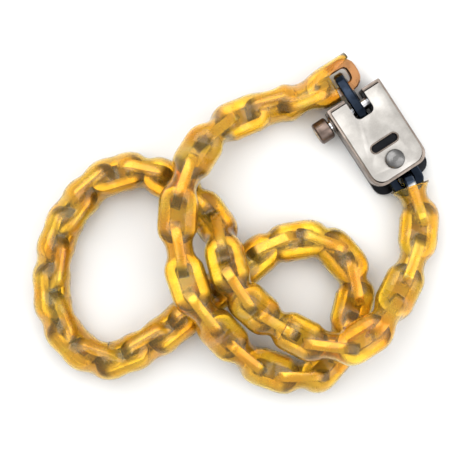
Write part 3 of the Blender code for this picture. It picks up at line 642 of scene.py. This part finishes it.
def add_sleeve(placed, finish):
    rings = sleeve_rings(placed)
    angles = np.arange(RING_POINTS) * 2 * math.pi / RING_POINTS
    radius = np.array([film_radius(row[3], row[4], angles) for row in rings])
    tight = radius.copy()
    radius = blurred(radius, 1, (1, 3, 5, 6, 5, 3, 1), True)
    radius = blurred(radius, 0, (1, 2, 3, 2, 1), False)
    radius = np.maximum(radius, tight - MOST_BLUR)
    radius = blurred(radius, 1, (1, 2, 1), True)
    centres = blurred(np.array([row[0] for row in rings]), 0, (1, 2, 3, 4, 3, 2, 1), False)
    wide = blurred(np.array([row[1] for row in rings]), 0, (1, 2, 3, 2, 1), False)
    course = np.gradient(centres, axis=0)
    course /= np.linalg.norm(course, axis=1)[:, None]
    wide -= course * np.sum(wide * course, axis=1)[:, None]
    wide /= np.linalg.norm(wide, axis=1)[:, None]
    high = np.cross(course, wide)
    # The mouths roll outwards a little, where the film is cut.
    steps = np.arange(len(rings))
    rim = np.maximum(np.exp(-steps / 2.0) * 0.5, np.exp(-(len(rings) - 1 - steps) / 3.0))
    radius = radius + MOUTH_ROLL * rim[:, None]

    hood_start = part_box("end_link_free")[1].y + HOOD_CLEARANCE

    def surface(shrink, lowest):
        reach = radius - shrink
        spot = (centres[:, None, :] + (reach * np.cos(angles))[:, :, None] * wide[:, None, :]
                + (reach * np.sin(angles))[:, :, None] * high[:, None, :])
        # The hood lies beyond the end of link 0, so only the far side of the mouth is drawn out.
        beyond = np.clip((spot[:HOOD_RINGS, :, 1] - hood_start) / HOOD_BLEND, 0.0, 1.0)
        drawn = (1.0 - np.arange(HOOD_RINGS) / HOOD_RINGS) ** 1.3
        share = drawn[:, None] * beyond ** 2 * (3 - 2 * beyond)
        spot[:HOOD_RINGS] -= HOOD_REACH * share[:, :, None] * course[0]
        spot[:, :, 2] = np.maximum(spot[:, :, 2], lowest)
        return spot.reshape(-1, 3)

    points = np.vstack((surface(0.0, 0.0), surface(FILM, FILM)))
    rows, size = len(rings), len(rings) * RING_POINTS
    faces, spots = [], []
    lengths = np.concatenate(([0.0], np.cumsum(np.linalg.norm(np.diff(centres, axis=0), axis=1))))
    for shift, outward in ((0, True), (size, False)):
        for row in range(rows - 1):
            for i in range(RING_POINTS):
                j = (i + 1) % RING_POINTS
                base = shift + row * RING_POINTS
                face = [base + i, base + j, base + RING_POINTS + j, base + RING_POINTS + i]
                uv = [(row, i), (row, i + 1), (row + 1, i + 1), (row + 1, i)]
                if not outward:
                    face.reverse()
                    uv.reverse()
                faces.append(face)
                spots += uv
    for row in (0, rows - 1):
        for i in range(RING_POINTS):
            j = (i + 1) % RING_POINTS
            base = row * RING_POINTS
            face = [base + i, base + size + i, base + size + j, base + j]
            uv = [(row, i), (row, i), (row, i + 1), (row, i + 1)]
            if row:
                face.reverse()
                uv.reverse()
            faces.append(face)
            spots += uv
    mesh = bpy.data.meshes.new("amber_sleeve")
    mesh.from_pydata(points.tolist(), [], faces)
    layer = mesh.uv_layers.new(name="along_and_round")
    for item, (row, i) in zip(layer.data, spots):
        item.uv = (lengths[row], i / RING_POINTS * ROUND_TO_UV)
    mesh.materials.append(finish)
    mesh.shade_smooth()
    made = bpy.data.objects.new("amber_sleeve", mesh)
    bpy.context.scene.collection.objects.link(made)
    path = [tuple(centres[0] - course[0] * HOOD_REACH / 2)] + [tuple(c) for c in centres]
    return made, path, float(lengths[-1]) + HOOD_REACH / 2


# --- Padlock --------------------------------------------------------------------------------------

def softened(node, body, width, finish, segments=2, limit=40):
    """A copy of a CAD node with its edges rounded, shown in its place."""
    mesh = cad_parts[node].data.copy()
    mesh.materials.clear()
    mesh.materials.append(finish)
    bm = bmesh.new()
    bm.from_mesh(mesh)
    bmesh.ops.remove_doubles(bm, verts=bm.verts, dist=0.000001)
    bmesh.ops.dissolve_limit(bm, angle_limit=math.radians(1), verts=bm.verts, edges=bm.edges)
    bm.to_mesh(mesh)
    bm.free()
    made = bpy.data.objects.new(node + "_shown", mesh)
    bpy.context.scene.collection.objects.link(made)
    step = made.modifiers.new("edges", "BEVEL")
    step.width = width
    step.segments = segments
    step.limit_method = "ANGLE"
    step.angle_limit = math.radians(limit)
    evaluated = made.evaluated_get(bpy.context.evaluated_depsgraph_get())
    rounded = bpy.data.meshes.new_from_object(evaluated)
    made.modifiers.clear()
    made.data = rounded
    soften_shading(made, 35)
    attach(made, body)
    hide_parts(node)
    return made


def slot_ring(name, centre, length, width, section, finish, body):
    """A raised pressed lip round an obround slot; section is (out, up) pairs from the slot's edge."""
    half, radius = (length - width) / 2, width / 2
    outline = []
    for side in (1, -1):
        for step in range(13):
            angle = math.pi * (step / 12 - 0.5) + (0.0 if side == 1 else math.pi)
            outline.append((side * half, math.cos(angle), math.sin(angle)))
    points, faces = [], []
    for middle, x, y in outline:
        for out, up in section:
            reach = radius + out
            points.append((centre.x + middle + x * reach, centre.y + y * reach, centre.z + up))
    count, deep = len(outline), len(section)
    for i in range(count):
        j = (i + 1) % count
        for k in range(deep):
            m = (k + 1) % deep
            faces.append((i * deep + k, j * deep + k, j * deep + m, i * deep + m))
    mesh = bpy.data.meshes.new(name)
    mesh.from_pydata(points, [], faces)
    mesh.materials.append(finish)
    bm = bmesh.new()
    bm.from_mesh(mesh)
    bmesh.ops.recalc_face_normals(bm, faces=bm.faces)
    bm.to_mesh(mesh)
    bm.free()
    made = bpy.data.objects.new(name, mesh)
    bpy.context.scene.collection.objects.link(made)
    soften_shading(made, 50)
    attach(made, body)
    return made


def repaint(node, finish):
    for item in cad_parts[node].material_slots:
        item.material = finish


def main():
    add_world()
    add_camera()
    add_floor()
    add_area_light("key", (-0.5, 0.7, 1.3), 0.9, 1.0, 6.5)
    add_area_light("fill", (0.9, -0.3, 1.0), 0.9, 0.8, 3.2)

    placed = place_links()
    sleeve, path, length = add_sleeve(placed, sleeve_plastic())
    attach(sleeve, "case")
    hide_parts("chain_sleeve")

    links = add_links(placed, link_steel())
    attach(links, "case")

    # painted dark reflection: the end links' bright steel gets near-black tones in place of the dark
    # surroundings it mirrors
    painted_reflection_link = plated("painted_reflection_link", *DARK_REFLECTION_TONES, (0.06, 0.16), 1500.0, 120.0)
    nickel = plated("nickel_cover", (0.61, 0.585, 0.55), (0.35, 0.33, 0.305), (0.38, 0.52),
                    1100.0, 60.0, 0.35)
    bronze = plated("bronze_plating", (0.36, 0.30, 0.26), (0.19, 0.155, 0.13), (0.26, 0.42), 1800.0, 110.0)
    knob = plated("knob_plating", (0.25, 0.185, 0.155), (0.09, 0.066, 0.055), (0.26, 0.45), 1400.0, 160.0)
    # painted shade and painted dark reflection: near-black for the parts seen in shadow through the slot and
    # in the notch, and for the back plate's dark chrome reflection
    shade_black = plated("painted_shade_black", (0.022, 0.023, 0.026), (0.008, 0.008, 0.009), (0.22, 0.42),
                   1500.0, 100.0)
    polished = plated("polished_steel", (0.66, 0.66, 0.68), (0.48, 0.48, 0.50), (0.16, 0.28), 1500.0, 150.0)
    rivet_head = plated("rivet_head", (0.26, 0.255, 0.25), (0.12, 0.118, 0.115), (0.24, 0.40),
                        2200.0, 120.0, 0.2)
    machined = plated("machined_steel", (0.55, 0.55, 0.56), (0.36, 0.36, 0.37), (0.25, 0.4), 1500.0, 120.0)
    brass = plated("brass", (0.80, 0.60, 0.28), (0.55, 0.38, 0.16), (0.22, 0.4), 1500.0, 120.0)

    softened("front_cover", "case", 0.0005, nickel)
    softened("case_shell", "case", 0.0004, bronze)
    # painted dark reflection on the back plate's chrome
    softened("back_plate", "case", 0.0006, shade_black)
    softened("bolt_collar", "case", 0.00015, bronze)
    repaint("chain_rivet", rivet_head)
    repaint("cylinder_barrel", knob)
    repaint("locking_bolt", polished)
    # painted dark reflection on both end links
    for node in ("end_link_free", "end_link_fixed"):
        repaint(node, painted_reflection_link)
    free_mouth, fixed_mouth = placed[1][0].x, path[-1][1]
    film = plated("second_link_film", *ZINC)
    steel = plated("second_link_steel", *ZINC)
    repaint("second_link_free", half_hidden(film, "X", free_mouth, FILM_BROWN))
    # painted dark reflection on the part of the second link outside the sleeve; the part inside stays bright
    # zinc
    repaint("second_link_fixed", half_hidden(steel, "Y", fixed_mouth, DARK_REFLECTION_TONES[0]))
    # painted shade: the inner plate seen through the slot, and the block, screw and clip in the shadow of
    # the notch
    repaint("inner_plate", shade_black)
    for node in ("centre_block", "stop_screw", "plug_clip"):
        repaint(node, shade_black)
    for node in ("bolt_guide", "bolt_keeper", "rivet_bush", "locking_pin", "case_rivet_1", "case_rivet_2",
                 "case_rivet_3", "case_rivet_4"):
        repaint(node, machined)
    for node in ("key_plug", "wafer_1", "wafer_2", "wafer_3", "wafer_4"):
        repaint(node, brass)

    cover_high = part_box("front_cover")[1]
    slot_centre = Vector((0.0, SLOT_Y, cover_high.z))
    lip = slot_ring("slot_lip", slot_centre, SLOT_LENGTH, SLOT_WIDTH, LIP_SECTION, bronze, "case")


main()
